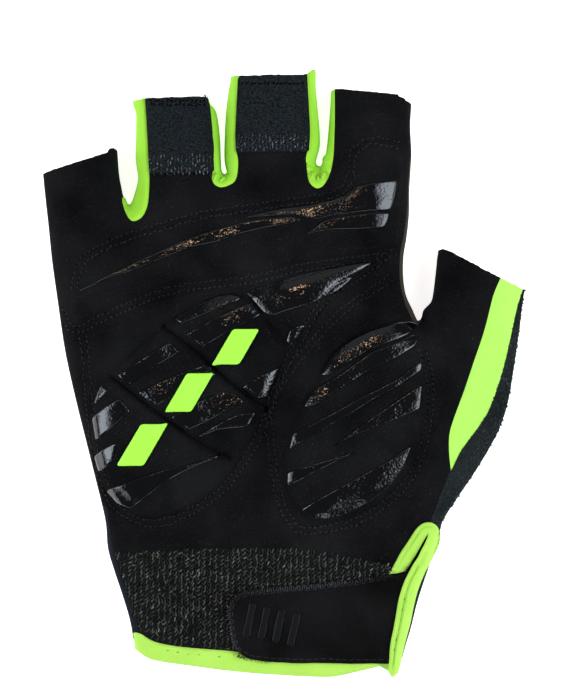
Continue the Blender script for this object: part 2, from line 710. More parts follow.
def film(name, base, rough, ripple, specular=0.5):
    """Thick glossy print: smooth patches and a fine orange-peel ripple."""
    material, tree, shader = new_material(name)
    add = maker(tree)
    place = add("ShaderNodeTexCoord").outputs["Object"]
    fine, broad = (add("ShaderNodeTexNoise", {"Vector": place, "Scale": scale, "Detail": 1.0}).outputs["Fac"]
                   for scale in (1350, 110))
    patch = add("ShaderNodeMapRange", {"Value": broad, "From Min": 0.42, "From Max": 0.62, "To Min": 0.3})
    bump = add("ShaderNodeBump", {"Distance": ripple, "Height": times(add, fine, patch.outputs[0])})
    tree.links.new(bump.outputs[0], shader.inputs["Normal"])
    for label, value in (("Base Color", (*base, 1)), ("Roughness", rough), ("Specular IOR Level", specular),
                         ("Specular Tint", (0.86, 0.93, 1.0, 1))):
        shader.inputs[label].default_value = value
    return material


BAND_SCALE = 0.314  # makes a wave texture's bands as far apart as a pitch
LIME_GRAIN = {"fibre": 3500, "mottle": 140, "fleck": 0.35, "rough": (0.6, 0.8), "specular": 0.08}
WEBBING_TINTS = (0.0022, 0.0034, 0.0042), (0.023, 0.031, 0.037)
GRAIN, THREAD_TREE = grain_group(), thread_tree()
SUEDE = cloth("palm_suede", (0.0015, 0.0016, 0.0019), (0.019, 0.0196, 0.0225), fibre=2700, fleck=0.6, height=0.0003,
              specular=0.03)
STRETCH = cloth("back_stretch", (0.0045, 0.006, 0.01), (0.014, 0.018, 0.028), fibre=4200, fleck=0.3, specular=0.05)
KNIT_BASE = cloth("cuff_ground", (0.0035, 0.004, 0.0042), (0.014, 0.015, 0.016), fibre=3600, fleck=0.7,
                  height=0.0004, specular=0.05)
KNIT_YARN = cloth("cuff_yarn", (0.0035, 0.004, 0.0042), (0.16, 0.165, 0.135), fibre=620, fleck=0.95, mottle=420,
                  specular=0.08)
KNIT_SHADE = cloth("cuff_shade_yarn", (0.0025, 0.003, 0.0032), (0.036, 0.046, 0.046), fibre=620, fleck=0.9,
                   mottle=420, specular=0.06)
TERRY = cloth("thumb_terry", (0.0065, 0.0095, 0.0105), (0.05, 0.064, 0.068), fibre=1500, fleck=0.85, height=0.0006,
              specular=0.04)
LIME = cloth("lime_stretch", (0.26, 0.59, 0.038), (0.33, 0.68, 0.076), height=0.00006, **LIME_GRAIN)
LIME_STRIPE = cloth("lime_stripe", (0.34, 0.7, 0.1), (0.42, 0.78, 0.14), height=0.00006, **LIME_GRAIN)
LIME_TAPE = cloth("lime_binding", (0.32, 0.59, 0.08), (0.42, 0.69, 0.125), height=0.00008, **LIME_GRAIN)
LIME_THREAD = cloth("lime_thread", (0.05, 0.18, 0.006), (0.12, 0.33, 0.02), fibre=5000, fleck=0.5, specular=0.1)
KHAKI = cloth("khaki_stretch", (0.026, 0.023, 0.016), (0.06, 0.054, 0.04), fibre=4000, fleck=0.4, specular=0.08)
WEBBING = ribbed(cloth("tab_webbing", *WEBBING_TINTS, specular=0.05), *WEBBING_TINTS, 0.00047, 0.00025)
TAB_YARN = cloth("tab_yarn", (0.01, 0.011, 0.014), (0.26, 0.29, 0.34), fibre=1100, fleck=0.9, mottle=500,
                 specular=0.2)
BLACK_THREAD = cloth("black_thread", (0.002, 0.002, 0.0024), (0.042, 0.043, 0.054), fibre=1500, fleck=0.7,
                     rough=(0.4, 0.6), specular=0.13)
STRAP_CLOTH = cloth("strap_suede", (0.0016, 0.0016, 0.0018), (0.0155, 0.0155, 0.0172), fibre=2700, fleck=0.5,
                    height=0.0002, specular=0.03)
SERGE_YARN = cloth("serging_yarn", (0.006, 0.0065, 0.009), (0.1, 0.105, 0.13), fibre=1300, fleck=0.8, specular=0.15)
TAB_SHADE = cloth("tab_shade_yarn", (0.008, 0.009, 0.012), (0.07, 0.08, 0.1), fibre=900, fleck=0.8, specular=0.1)
NEEDLE = cloth("needle_hole", (0.0004, 0.0004, 0.0005), (0.0008, 0.0008, 0.001), specular=0.0)
FRAY = cloth("frayed_fibre", (0.003, 0.0033, 0.004), (0.02, 0.022, 0.026), fibre=2000, fleck=0.5, specular=0.1)
GRIP_FILM = film("grip_print", (0.002, 0.002, 0.0024), 0.1, 0.00017)
LIME_FILM = film("lime_print", (0.3, 0.8, 0.042), 0.5, 0.00002)
RUBBER = film("strap_rubber", (0.0024, 0.0024, 0.0026), 0.42, 0.00003, specular=0.15)

# --- outlines of the panels, pads and prints ---
TONGUES = {
    "gusset_little_ring": [
        (120.5, 146), (121, 158), (122, 174), (124.5, 188), (126, 195.5), (122.6, 197.5), (122.8, 203), (125.5, 212),
        (130, 219.5), (135, 221.3), (142.5, 217), (147.5, 206.7), (149.2, 193), (149.6, 176.7), (148.6, 160),
        (147.2, 130), (145.4, 101.5), (143, 85), (120, 85),
    ],
    "gusset_ring_middle": [
        (206, 80), (207.5, 99.5), (209.5, 110), (211.9, 130), (214, 146.7), (213.3, 168), (211.9, 178), (215, 185),
        (220.8, 187.5), (228.3, 185.8), (235.8, 180), (238.3, 163), (235.8, 146.7), (235.4, 130), (237, 105),
        (239.2, 77.7), (240, 60),
    ],
    "gusset_middle_index": [
        (306, 60), (307, 74.4), (308.5, 100), (310, 130), (309, 146.7), (306, 157), (306.7, 168), (309, 181.7),
        (315.8, 188.5), (323.3, 185.8), (330, 173.3), (333.3, 156.7), (334.5, 130), (334.8, 110), (334.6, 92.5),
        (334, 75),
    ],
    "gusset_index_thumb": [
        (410.2, 160), (408.3, 185), (407.2, 210), (404.2, 233), (400.2, 253), (399.8, 280), (405, 303), (414.5, 324),
        (419, 323.5), (421, 318), (417, 298), (414, 240), (416, 160),
    ],
}
STRIPE = [
    (505, 262), (500, 278), (492.7, 296), (484, 330), (473, 362.7), (463.5, 391), (453.5, 418), (449, 434),
    (448.6, 451.3), (450.3, 468), (451, 469.5), (460.5, 450.7), (473, 433.5), (484, 418), (492.7, 400), (503, 368.3),
    (511.5, 332), (517, 306.8), (523, 288), (529, 266), (517, 252),
]
TERRY_FRONT = [
    (523, 288), (517, 306.8), (511.5, 332), (502.8, 368.3), (492.7, 400.9), (484, 416), (473.9, 432.9), (460.9, 450.7),
    (450.3, 470), (440, 496), (428, 528), (445, 545), (540, 430), (545, 280),
]
STRIP_LEFT = [
    (96, 500), (107.5, 508), (110.5, 535), (114, 554), (121, 575), (130, 603), (138, 630), (142, 680), (100, 680),
]
STRIP_RIGHT = [
    (440, 530), (430, 552), (421, 572), (411, 595), (404, 620), (398, 650), (394, 690), (430, 690), (450, 540),
]
KNIT = [
    (60, 556), (119, 553), (152, 550.5), (213, 548.5), (275, 547.3), (331.7, 553), (386, 564), (400, 568), (460, 580),
    (460, 720), (60, 720),
]
SLIT = [
    (425, 545), (419, 551), (406, 572), (396, 600), (390, 630), (386, 660), (384, 700), (389, 700), (391, 660),
    (394, 630), (400, 602), (411, 571),
]
HEEL_OVAL = [
    (103, 383), (94, 407), (92, 430), (94, 455), (102, 481), (118, 503), (138, 516), (160, 518), (184, 511), (208, 497),
    (230, 474), (250, 440), (266, 405), (279, 372), (284, 348), (272, 328), (256, 306), (243, 296), (230, 293),
    (214, 297), (196, 306), (172, 321), (146, 341), (122, 362),
]
GROOVES = [[(112, 376), (126, 388), (147, 404), (170, 421), (193, 438), (216, 451), (230, 457)],
           [(165, 327), (178, 337), (203, 357), (225, 378), (250, 397), (265, 408)]]
THUMB_PAD = [
    (315, 385), (300, 410), (287, 437), (284, 460), (287, 490), (300, 512), (318, 522), (340, 520), (368, 510),
    (392, 492), (411, 466), (424, 425), (428, 385), (424, 350), (420, 326), (408, 319), (390, 322), (362, 334),
    (335, 352),
]
WING_PAD = [
    (252, 300), (262, 290), (300, 279), (340, 267), (376, 260), (392, 254), (375, 268), (345, 287), (330, 300),
    (318, 315), (305, 338), (292, 352), (284, 338), (268, 322),
]
KNUCKLE_PAD = [
    (70, 300), (74, 275), (84, 257), (110, 243), (150, 229), (200, 215), (245, 208), (300, 200), (332, 194), (347, 184),
    (352, 160), (358, 147), (375, 141), (396, 145), (402, 165), (401, 205), (398, 240), (386, 250), (340, 256),
    (300, 262), (250, 274), (200, 279), (165, 286), (130, 299), (100, 313), (78, 324),
]
PADS = {"heel_pad": HEEL_OVAL, "thumb_heel_pad": THUMB_PAD, "palm_pad": WING_PAD, "knuckle_pad": KNUCKLE_PAD}
TILES = {
    "heel_pad_1": [(80, 350), *GROOVES[0], (250, 470), (240, 560), (60, 560)],
    "heel_pad_3": [(150, 270), (150, 315), *GROOVES[1], (290, 425), (330, 430), (330, 270)],
}

# Ribbons of grip print by pad. Each that is called a print stands for the frame's ribbon of that name.
FILMS = {
    "heel_pad_1": {
        "corner": [(95, 405), (98, 394), (103, 384), (109, 391)],
        "print_1": [(93, 418), (106, 407), (120, 398), (131, 411), (114, 426), (97, 440)],
        "print_2": [(95, 456), (106, 448), (117, 442), (113, 461), (100, 472)],
        "print_3": [
            (107, 490), (142, 477), (163, 470), (190, 464), (212, 457), (230, 451), (214, 459), (197, 465), (170, 479),
            (150, 494), (132, 508), (118, 503),
        ],
    },
    "heel_pad_2": {
        "print_1": [(118, 375), (145, 357), (170, 342), (180, 352), (155, 367), (129, 385)],
        "print_2": [(138, 393), (155, 384), (180, 373), (207, 364), (221, 372), (205, 380), (182, 391), (156, 406)],
        "print_3": [(171, 417), (197, 402), (224, 391), (238, 395), (244, 402), (225, 412), (204, 423), (186, 431)],
        "print_4": [(196, 438), (215, 425), (237, 414), (256, 412), (249, 425), (243, 427), (220, 429)],
    },
    "heel_pad_3": {
        "rim": [
            (174, 319), (187, 312), (203, 303), (220, 296), (233, 295), (242, 298), (236, 302), (205, 314), (182, 324),
        ],
        "print_1": [(186, 334), (212, 320), (240, 307), (252, 303), (261, 315), (250, 321), (225, 334), (203, 347)],
        "print_2": [(241, 388), (258, 377), (281, 366), (275, 383), (267, 397), (256, 398)],
    },
    "thumb_heel_pad": {
        "print_1": [
            (321, 375), (326, 363), (337, 350), (354, 339), (371, 331), (397, 323), (410, 322), (417, 325), (411, 333),
            (398, 339), (371, 349), (345, 364), (326, 376),
        ],
        "print_2": [
            (314, 389), (336, 377), (371, 352), (398, 342), (412, 335), (419, 337), (414.6, 346), (394, 359),
            (368, 371), (337, 391), (316, 404), (304, 408), (307, 399),
        ],
        "print_3": [
            (293, 433), (319, 420), (354, 401), (397, 379), (421.5, 360), (420.7, 370), (397, 387), (371, 401),
            (354, 412), (319, 432), (293, 446), (289, 451),
        ],
        "print_4": [
            (421.5, 384), (406, 394), (371, 418), (337, 443), (333, 447), (347, 438), (371, 429), (401, 417),
            (419, 409),
        ],
        "print_5": [(287.5, 472), (319, 462), (356, 451.5), (328, 465.5), (302, 479), (287.5, 486)],
        "print_6": [
            (301, 509), (319, 498), (354, 479), (388.7, 460), (411.5, 444.5), (402.5, 467), (388.7, 486), (371, 500),
            (354, 510), (337, 517), (319, 519), (308, 515.5),
        ],
    },
    "palm_pad": {
        "print_1": [
            (246, 293), (258, 287.5), (273, 283), (290, 278), (307, 273.5), (332, 268), (357, 263.5), (373, 262.6),
            (360, 271), (350, 280), (340, 289), (331, 294.5), (318, 301), (306, 305), (286, 311), (272, 316),
            (264, 313), (254, 301),
        ],
        "shard": [(286, 342), (290, 330), (300, 325), (306, 325), (300, 335), (293, 346)],
    },
    "knuckle_pad": {
        "print_1": [
            (78, 292.5), (103, 278), (130, 265), (157, 252.5), (190, 238.5), (212, 231), (240, 223.5), (265, 219),
            (293, 216.8), (302, 220.2), (290, 224), (265, 228), (240, 234), (218, 242), (190, 247.5), (160, 260),
            (132, 271), (105, 281),
        ],
        "print_2": [
            (246, 218), (262, 213.5), (283, 209), (307, 206.5), (332, 201.5), (345, 196.5), (355, 188), (370, 184),
            (386, 181.5), (396, 181), (394, 196), (390, 210), (383, 211), (370, 211), (358, 212.5), (332, 216),
            (318, 219.6), (304, 218), (293, 214.8), (265, 216.6),
        ],
        "print_3": [
            (305, 235), (312, 230), (321, 222.5), (332, 218.5), (358, 214.8), (370, 213.3), (388.5, 213), (386.5, 222),
            (383, 228), (357, 229.5), (332, 230), (318, 232.5),
        ],
    },
}

STITCHES = [  # round the knuckle pad, the palm pad, the thumb's heel pad and the heel pad
    [(72, 290), (75, 272), (84, 256), (110, 241), (150, 227), (200, 213), (245, 206), (300, 198), (332, 192),
     (345, 183), (349, 163), (353, 148), (372, 138), (400, 143)],
    [(60, 303), (68, 318), (78, 327), (100, 316), (130, 302), (165, 289), (200, 282), (250, 277), (300, 265),
     (340, 259), (386, 253)],
    [(396, 254), (373, 269), (357, 281), (340, 290), (328, 301), (317, 315), (310, 328), (303, 341), (296, 353),
     (289, 365), (282, 381), (272, 403)],
    [(424, 346), (431, 372), (433, 402), (429, 436), (418, 470), (402, 492), (380, 511), (357, 524), (328, 531),
     (302, 533), (288, 523), (277, 500), (271, 470), (267, 436), (266, 410), (275, 386), (292, 362), (312, 338),
     (340, 309), (366, 291), (390, 275)],
    [(276, 400), (263, 434), (247, 462), (228, 488), (204, 507), (176, 521), (150, 526), (126, 518), (110, 502),
     (99, 476), (91.5, 446), (87.5, 415), (85, 385), (83, 355), (79, 330)],
]
STITCH_GAP = 1.7  # from each row to its twin
ROWS = []
for points in STITCHES:
    line = smooth(points, 0.8)
    ROWS += [line, line - beside_of(line) * STITCH_GAP]

# --- low relief of the palm ---
for loop, height, shoulder in (
    (KNUCKLE_PAD, 1.3, 4.0), (HEEL_OVAL, 2.0, 4.0), (THUMB_PAD, 2.0, 6.0), (WING_PAD, 1.0, 3.0),
):
    puff(smooth(loop, 0.8, closed=True), height, shoulder)
for row in ROWS:
    press(row, 0.45, 0.55)
for groove in GROOVES:
    press(smooth(groove, 0.8), 1.9, 0.85)
for points in TONGUES.values():
    edge = smooth(points, 0.6, closed=True)
    press(edge, 0.4, 0.45, closed=True)
    puff(edge, 0.35, 1.4)
for points in (STRIPE, KNIT, STRIP_LEFT):
    press(smooth(points, 0.6, closed=True), 0.3, 0.4, closed=True)
for points, depth, width in (  # the seam beside the little finger's edge, then folds
    ([(47, 176), (52, 222), (56, 261), (61, 297), (68, 345), (81, 405), (91, 445), (101, 485)], 0.25, 0.4),
    ([(431, 292), (437, 320), (441, 350), (443, 380), (440, 405), (432, 428)], 1.3, 1.8),
    ([(424, 296), (430, 335), (434, 372)], 0.5, 2.5),
    ([(449, 300), (455, 330), (457, 360), (452, 392)], 0.5, 2.2),
    ([(96, 232), (140, 224), (190, 206), (240, 198)], 0.35, 2.4),
    ([(303, 236), (298, 262)], 0.5, 1.2),
    ([(270, 470), (262, 500), (258, 536)], 0.4, 2.6),
    ([(150, 533), (210, 529), (300, 540)], 0.35, 2.0),
    ([(425, 440), (423, 480), (418, 512)], 0.5, 2.6),
    ([(60, 190), (76, 205), (98, 211)], 0.3, 2.0),
    ([(345, 112), (368, 120), (396, 118)], 0.35, 2.2),
):
    press(smooth(points, 0.8), depth, width)


def swell(centre, height, width):
    """Raises a soft hill."""
    middle = at([centre])
    place, points, shape = window(middle, 3 * width)
    relief[place] += height * np.exp(-(((points - middle) ** 2).sum(1) / (2 * width**2))).reshape(shape)


swell((308, 292), 2.0, 8.0)


def gather(centre, reach, width, height, count, turn=0.0):
    """Folds that fan out below the root of two fingers."""
    middle = at([centre])[0]
    place, points, shape = window(middle[None], reach + 3 * width)
    away = points - middle
    far, angle = np.hypot(*away.T), np.arctan2(away[:, 1], away[:, 0])
    fan = np.cos(count * (angle + turn)) * np.exp(-(((far - reach) / width) ** 2))
    relief[place] += (height * fan * ease(1.5, -1.0, away[:, 1])).reshape(shape)


gather((224.5, 173), 1.8, 1.1, 0.35, 7, 0.1)
gather((318.5, 164), 2.8, 1.9, 0.35, 8, 0.45)
for points, depth in (  # creases in and beside the lime strips
    ([(315.2, 167.5), (316.2, 173), (316, 178.5)], 0.75), ([(320.6, 168), (320.9, 173), (320.2, 177)], 0.75),
    ([(218.3, 172), (218.6, 177), (220.5, 181)], 0.6), ([(129.5, 206.5), (129.6, 211), (132, 215)], 0.4),
    ([(140.5, 186), (138.5, 197), (134.5, 207)], 0.3), ([(311.5, 120), (312.3, 146), (310.8, 160)], 0.3),
    ([(229.5, 120), (230, 146), (231.5, 162)], 0.3), ([(141.5, 110), (142.5, 140), (143.5, 165)], 0.25),
):
    press(smooth(points, 0.4), depth, 0.42)
everywhere = np.column_stack([axis.ravel() for axis in np.meshgrid(GRID_X, GRID_Y)])
for height, size, seed in ((0.16, 14, 3), (0.035, 4.5, 5)):
    relief += height * waves(everywhere, size, 9, seed).reshape(relief.shape)


# --- the skin in panels ---
def far_from(places, others, gap):
    """Whether each place is farther than a gap from every other point."""
    clear = np.ones(len(places), bool)
    for low in range(0, len(others), 500):
        part = others[low : low + 500]
        near = np.where(clear)[0]
        away = np.abs(places[near, None, :] - part[None]).max(2).min(1)
        clear[near[away < gap]] = False
    return clear


# The outline of every panel, pad and tile, in the order in which they cut the skin.
LOOPS = {name: smooth(points, 0.6, closed=True) for name, points in (*TONGUES.items(), ("thumb_stripe", STRIPE))}
LOOPS["terry"] = straight(TERRY_FRONT, 0.6, closed=True)
LOOPS |= {name: straight(points, 0.8, closed=True) for name, points in (
    ("strip_left", STRIP_LEFT), ("strip_right", STRIP_RIGHT), ("slit", SLIT), ("knit", KNIT))}
LOOPS |= {name: smooth(points, 0.6, closed=True) for name, points in PADS.items()}
LOOPS |= {name: straight(points, 0.6, closed=True) for name, points in TILES.items()}
SEAM_LINES = [smooth(groove, 0.5) for groove in GROOVES]
SEAM_LINES += [spaced(LOOPS[name], 0.6, closed=True) for name in TONGUES]
SEAM_ROWS = (-1.0, -0.5, 0.5, 1.0)  # extra points beside each seam
CROTCHES = at([(130, 208), (222, 177), (318, 172)])  # where the skin between the fingers gets the finest points
CROTCH_REACH, CROTCH_STEP = 3.4, 0.42


def partition(loops, step, edge_rows):
    """Triangles of the whole outline, cut along the loops."""
    points, edges, count = [OUTLINE], [ring_edges(len(OUTLINE), 0)], len(OUTLINE)
    for loop in loops:
        points.append(loop)
        edges.append(ring_edges(len(loop), count))
        count += len(loop)
    rows = rows_inside(OUTLINE, edge_rows)
    grid = honeycomb(OUTLINE.min(0), OUTLINE.max(0), step)
    grid = grid[inside(grid, OUTLINE)]
    grid = grid[distance(grid, OUTLINE, closed=True) > edge_rows[-1] + 0.4 * step]
    beside = [line + offset * beside_of(line) for line in SEAM_LINES for offset in SEAM_ROWS]
    beside = np.vstack(beside) if step < 1 else np.empty((0, 2))
    if len(beside):
        for place in CROTCHES:
            spot = honeycomb(place - CROTCH_REACH, place + CROTCH_REACH, CROTCH_STEP)
            beside = np.vstack([beside, spot[far_from(spot, beside, 0.24)]])
        beside = beside[inside(beside, OUTLINE)]
        beside = beside[distance(beside, OUTLINE, closed=True) > edge_rows[-1]]
        grid = grid[far_from(grid, beside, 0.5)]
    free = np.vstack([rows, grid, beside])
    for loop in loops:
        low, high = loop.min(0) - 1, loop.max(0) + 1
        near = np.where(((free > low) & (free < high)).all(1))[0]
        close = distance(free[near], loop, closed=True) < 0.25
        free = np.delete(free, near[close], axis=0)
    places, faces = triangulated(np.vstack([*points, free]), np.vstack(edges))
    centres = places[faces].mean(1)
    kept = inside(centres, OUTLINE)
    return places, faces[kept], centres[kept]


def front_regions(centres):
    """The name of the panel or pad that each triangle belongs to."""
    names = np.full(len(centres), "palm_suede_cover", object)
    heel = inside(centres, LOOPS["heel_pad"])
    for name in ("knuckle_pad", "palm_pad", "thumb_heel_pad"):
        names[inside(centres, LOOPS[name])] = name
    names[heel] = "heel_pad_2"
    for name in TILES:
        names[heel & inside(centres, LOOPS[name])] = name
    for loop, name in (
        ("knit", "cuff_knit_ground"), ("slit", "none"), ("strip_left", "back_strips"), ("strip_right", "back_strips"),
        ("terry", "terry"), ("thumb_stripe", "thumb_stripe"), *zip(TONGUES, TONGUES),
    ):
        names[inside(centres, LOOPS[loop])] = name
    return names


places, faces, centres = partition(list(LOOPS.values()), STEP, EDGE_ROWS)
front_points, front_normals = lay(places)
names = front_regions(centres)
BACK_THUMB = straight([(404, 325), (420, 300), (560, 240), (560, 480), (436, 530), (428, 520), (446, 462),
                       (418, 400)], 1.0, closed=True)
BACK_LOOPS = [LOOPS[name] for name in TONGUES] + [BACK_THUMB]
back_places, back_faces, back_centres = partition(BACK_LOOPS, 1.8, EDGE_ROWS + (3.4, 5.0))
back_points, back_normals = lay(back_places, back=True)
back_names = np.full(len(back_centres), "back", object)
back_names[inside(back_centres, BACK_THUMB)] = "terry"
for name in TONGUES:
    back_names[inside(back_centres, LOOPS[name])] = name


FRONT = faces, front_points, front_normals, False
BACK = back_faces, back_points, back_normals, True


def skin_piece(name, sides, material, slot, replaces, wall=WALL):
    """One walled piece from the chosen faces of the skin's front, its back or both."""
    parts, shells, count = [], [], 0
    for chosen, (given, points, normals, turned_over) in sides:
        if not chosen.any():
            continue
        local, points, normals = compact(given[chosen], points, normals)
        solid, shell = thicken(points, local[:, ::-1] if turned_over else local, normals, wall)
        parts.append(solid)
        shells += [[corner + count for corner in face] for face in shell]
        count += len(solid)
    return new_piece(name, np.vstack(parts), shells, material, slot, replaces)


def both_sides(name, front_name, back_name, *rest):
    """One piece of a panel that runs round the side of the glove."""
    return skin_piece(name, [(names == front_name, FRONT), (back_names == back_name, BACK)], *rest)


for name, material, slot, node in (
    ("palm_suede_cover", SUEDE, "palm_suede", "palm_panel"),
    ("cuff_knit_ground", KNIT_BASE, "cuff_knit", "cuff_knit"),
    ("thumb_stripe", LIME_STRIPE, "lime_stretch", "thumb_stripe"),
):
    skin_piece(name, [(names == name, FRONT)], material, slot, (node,))
for name in ("heel_pad_1", "heel_pad_2", "heel_pad_3", "palm_pad", "thumb_heel_pad", "knuckle_pad"):
    pad = skin_piece(name + "_cover", [(names == name, FRONT)], SUEDE, "pad_suede", (name,), wall=1.8)
for name in TONGUES:
    finish, slot = (KHAKI, "khaki_stretch") if name == "gusset_index_thumb" else (LIME, "lime_stretch")
    both_sides(name + "_strip", name, name, finish, slot, (name,))
both_sides("back_stretch_panel", "back_strips", "back", STRETCH, "back_stretch", ("back_panel",))
both_sides("thumb_terry_panel", "terry", "terry", TERRY, "thumb_terry", ("thumb_back_panel",))

# --- grip print ---
for pad, ribbons in FILMS.items():
    for label, points in ribbons.items():
        plate(f"{pad}_{label}_film", rounded(at(points), 0.8), -0.15, 0.45, 0.42, GRIP_FILM, "grip_print",
              (f"{pad}_{label}",) if "print" in label else (), spacing=0.5)

MARK_ALONG, MARK_ACROSS = np.array([np.cos(np.radians(60)), np.sin(np.radians(60))]), np.array([3.6, 0.0])
for i, (centre, long) in enumerate((((142.8, 444.5), 13.0), ((189.5, 392.3), 12.0), ((236.3, 346.7), 11.0))):
    corners = bar(at([centre])[0], MARK_ALONG * long / 2, MARK_ACROSS)
    plate(f"heel_mark_{i + 1}_film", rounded(corners, 0.8), 0.2, 0.85, 0.35, LIME_FILM, "lime_print",
          (f"heel_mark_{i + 1}",), spacing=0.5)

# --- pull tabs ---
RING_TAB = [(145.8, 99), (207.6, 96.8), (210.3, 106), (212.6, 130), (214.4, 171.8), (149.4, 174.3), (147.6, 130)]
MIDDLE_TAB = [(238, 77.2), (306, 75.6), (308.2, 110), (309.2, 152), (236, 153), (236.3, 110)]
for name, points in (("ring_pull_tab", RING_TAB), ("middle_pull_tab", MIDDLE_TAB)):
    plate(name + "_ribbon", rounded(at(points), 0.7), 0.15, 1.35, 0.5, WEBBING, "tab_webbing", (name,), upright=True)

for name, left, right, first, last, start, end, rows in (  # loop patch, then the stitch rows near the tab's end
    ("ring_pull_tab", 151.0, 213.0, 156.0, 172.0, 149.0, 206.5, (101.0, 105.0)),
    ("middle_pull_tab", 238.5, 308.0, 136.0, 151.0, 241.0, 304.5, (84.0,)),
):
    columns, lines = np.meshgrid(np.arange(left, right, 3.5), np.arange(first, last + 0.5, 3.9))
    lines = lines + np.where(np.arange(columns.shape[1]) % 2, 1.9, 0)
    loops = at(np.column_stack([columns.ravel(), lines.ravel()]))
    loops += rng.normal(0, 0.15, loops.shape)
    bright = rng.uniform(0, 1, len(loops)) < 0.5
    for label, chosen, yarn in (("loops", bright, TAB_YARN), ("shade_loops", ~bright, TAB_SHADE)):
        chosen = loops[chosen]
        seats = aim(chosen, turned(len(chosen), 88, 25), 1.3, upright=True)
        threads(f"{name}_{label}", *seats, 0.85, 0.3, 0.15, yarn, "tab_webbing")
    row = np.vstack([midway(spaced(at([(start, v), (end, v + 0.4)]), 1.15)) for v in rows])
    row += rng.normal(0, 0.12, row.shape)
    seats = aim(row, turned(len(row), 40, 40), 1.34, upright=True)
    threads(name + "_stitches", *seats, 1.1, 0.15, 0.17, NEEDLE, "tab_webbing")
    corners = at([(start + 1, rows[0] - 2.6), (end - 1, rows[0] - 4.6)])
    tufts = np.vstack([corner + rng.normal(0, 1, (8, 2)) * (0.35, 0.1) for corner in corners])
    seats = aim(tufts, turned(len(tufts), 92, 24), 1.1, upright=True)
    threads(name + "_fray", *seats, 0.9, 0.1, 0.06, FRAY, "tab_webbing", sides=4)

# --- cuff, strap and bindings ---
STRAP = [
    (231, 600), (236, 594.5), (246, 590.5), (275, 588), (310, 585), (350, 580), (385, 574.5), (413, 569.5), (405, 590),
    (398, 615), (393, 640), (392, 663.5), (350, 663), (310, 662.8), (270, 661.5), (250, 658.5), (239, 653), (233, 643),
    (229.5, 625), (229, 610),
]
STRAP_LOOP = rounded(at(STRAP), 2.0, 0.5)
plate("closure_strap_cloth", STRAP_LOOP, 0.3, 2.0, 0.6, STRAP_CLOTH, "strap_suede", ("closure_strap",), spacing=0.8)
RIB_CENTRE, RIB_PITCH, RIB_TURN = at([(271.5, 624)])[0], 4.1, np.radians(-12)
RIB_ALONG = np.array([-np.sin(RIB_TURN), np.cos(RIB_TURN)])
RIB_ACROSS = np.array([np.cos(RIB_TURN), np.sin(RIB_TURN)])
for i in range(4):
    corners = bar(RIB_CENTRE + RIB_ACROSS * (i - 1.5) * RIB_PITCH, RIB_ALONG * 4.6, RIB_ACROSS)
    plate(f"strap_rib_{i + 1}", rounded(corners, 0.7, 0.35), 1.9, 2.35, 0.3, RUBBER, "strap_rubber",
          ("strap_grip",) if i == 0 else ())

FRONT_HEM = [  # picture point, half width, lift, groove depth
    (134, 640.2, 2.1, 0, 0), (137.3, 640.4, 2.15, 0, 0.1), (143.5, 645, 2.3, 0, 0.4), (152.5, 649.9, 2.45, 0, 0.4),
    (163, 652.4, 2.45, 0, 0.4), (173.6, 654.2, 2.4, 0, 0.4), (191.4, 656.3, 2.45, 0, 0.4), (209.3, 658.3, 2.6, 0, 0.4),
    (230.7, 660.4, 2.75, 0, 0.4), (252, 663, 2.6, 0, 0.2), (280.7, 665.3, 2.5, 0, 0.2), (307.5, 667, 2.45, 0, 0.2),
    (332, 667.5, 2.4, 0, 0.2), (352, 664.5, 2.1, 0, 0.2), (378.5, 660.2, 1.6, 0, 0.2),
]
tape("front_hem_tape", FRONT_HEM, -0.25, 1.9, LIME_TAPE, "lime_binding", ("front_hem",), grooves=(0.26,), crumple=0.05)
BACK_HEM = [(x, y - 2.5, half, lift) for x, y, half, lift, _ in FRONT_HEM[:-2]]
BACK_HEM += [(352, 660.5, 1.9, 0), (373, 658, 1.6, 0), (391, 666, 1.7, 0)]
tape("back_hem_tape", BACK_HEM, -0.35, 1.9, LIME_TAPE, "lime_binding", ("back_hem",), back=True)
SLIT_PATH = [  # picture point, half width, lift, depth of the outer groove and of the inner one
    (383, 597, 1.95, -0.9, 0.4, 0), (392, 581, 1.95, -0.9, 0.4, 0), (400.5, 566.9, 1.95, -0.7, 0.5, 0),
    (406.8, 555.4, 1.95, -0.3, 0.6, 0), (414.2, 543.3, 1.8, 0, 0.7, 0), (421, 532.3, 1.72, 0.2, 0.7, 0),
    (425.6, 528.5, 1.7, 0.3, 0.7, 0), (429.2, 528.2, 1.7, 0.4, 0.7, 0), (432, 530, 1.7, 0.6, 0.7, 0.1),
    (433.6, 533.4, 1.7, 0.8, 0.7, 0.2), (433.7, 538, 1.8, 1.0, 0.6, 0.3), (431.6, 544.5, 1.92, 1.2, 0.4, 0.4),
    (427.8, 552, 1.92, 1.4, 0.2, 0.5), (423.7, 560.4, 1.92, 1.6, 0, 0.7), (418.2, 569.3, 2.0, 1.9, 0, 0.9),
    (410.9, 585.4, 2.2, 2.1, 0, 0.9), (406.3, 601.4, 2.25, 2.1, 0, 0.9), (402.3, 622.4, 2.15, 2.1, 0, 0.9),
    (397.2, 645.2, 1.95, 2.0, 0, 0.9), (394.8, 662.7, 1.6, 1.8, 0, 0.7), (393.2, 671, 1.45, 1.4, 0, 0.3),
    (392.4, 676.5, 0.35, 0.9, 0, 0),
]
tape("slit_tape", SLIT_PATH, 0.35, 2.2, LIME_TAPE, "lime_binding", ("slit_binding",), grooves=(0.34, -0.34),
     crumple=0.07)

# --- sewing ---
threads("palm_pad_stitches", *stitches_along(ROWS, 1.4, 0.05, 0.13, slant=0.3), 0.85, 0.24, 0.17, BLACK_THREAD,
        "palm_suede")
threads("palm_needle_holes", *stitches_along([row[1:] for row in ROWS], 1.4, 0.03, 0.12), 0.5, 0.06, 0.22, NEEDLE,
        "palm_suede")

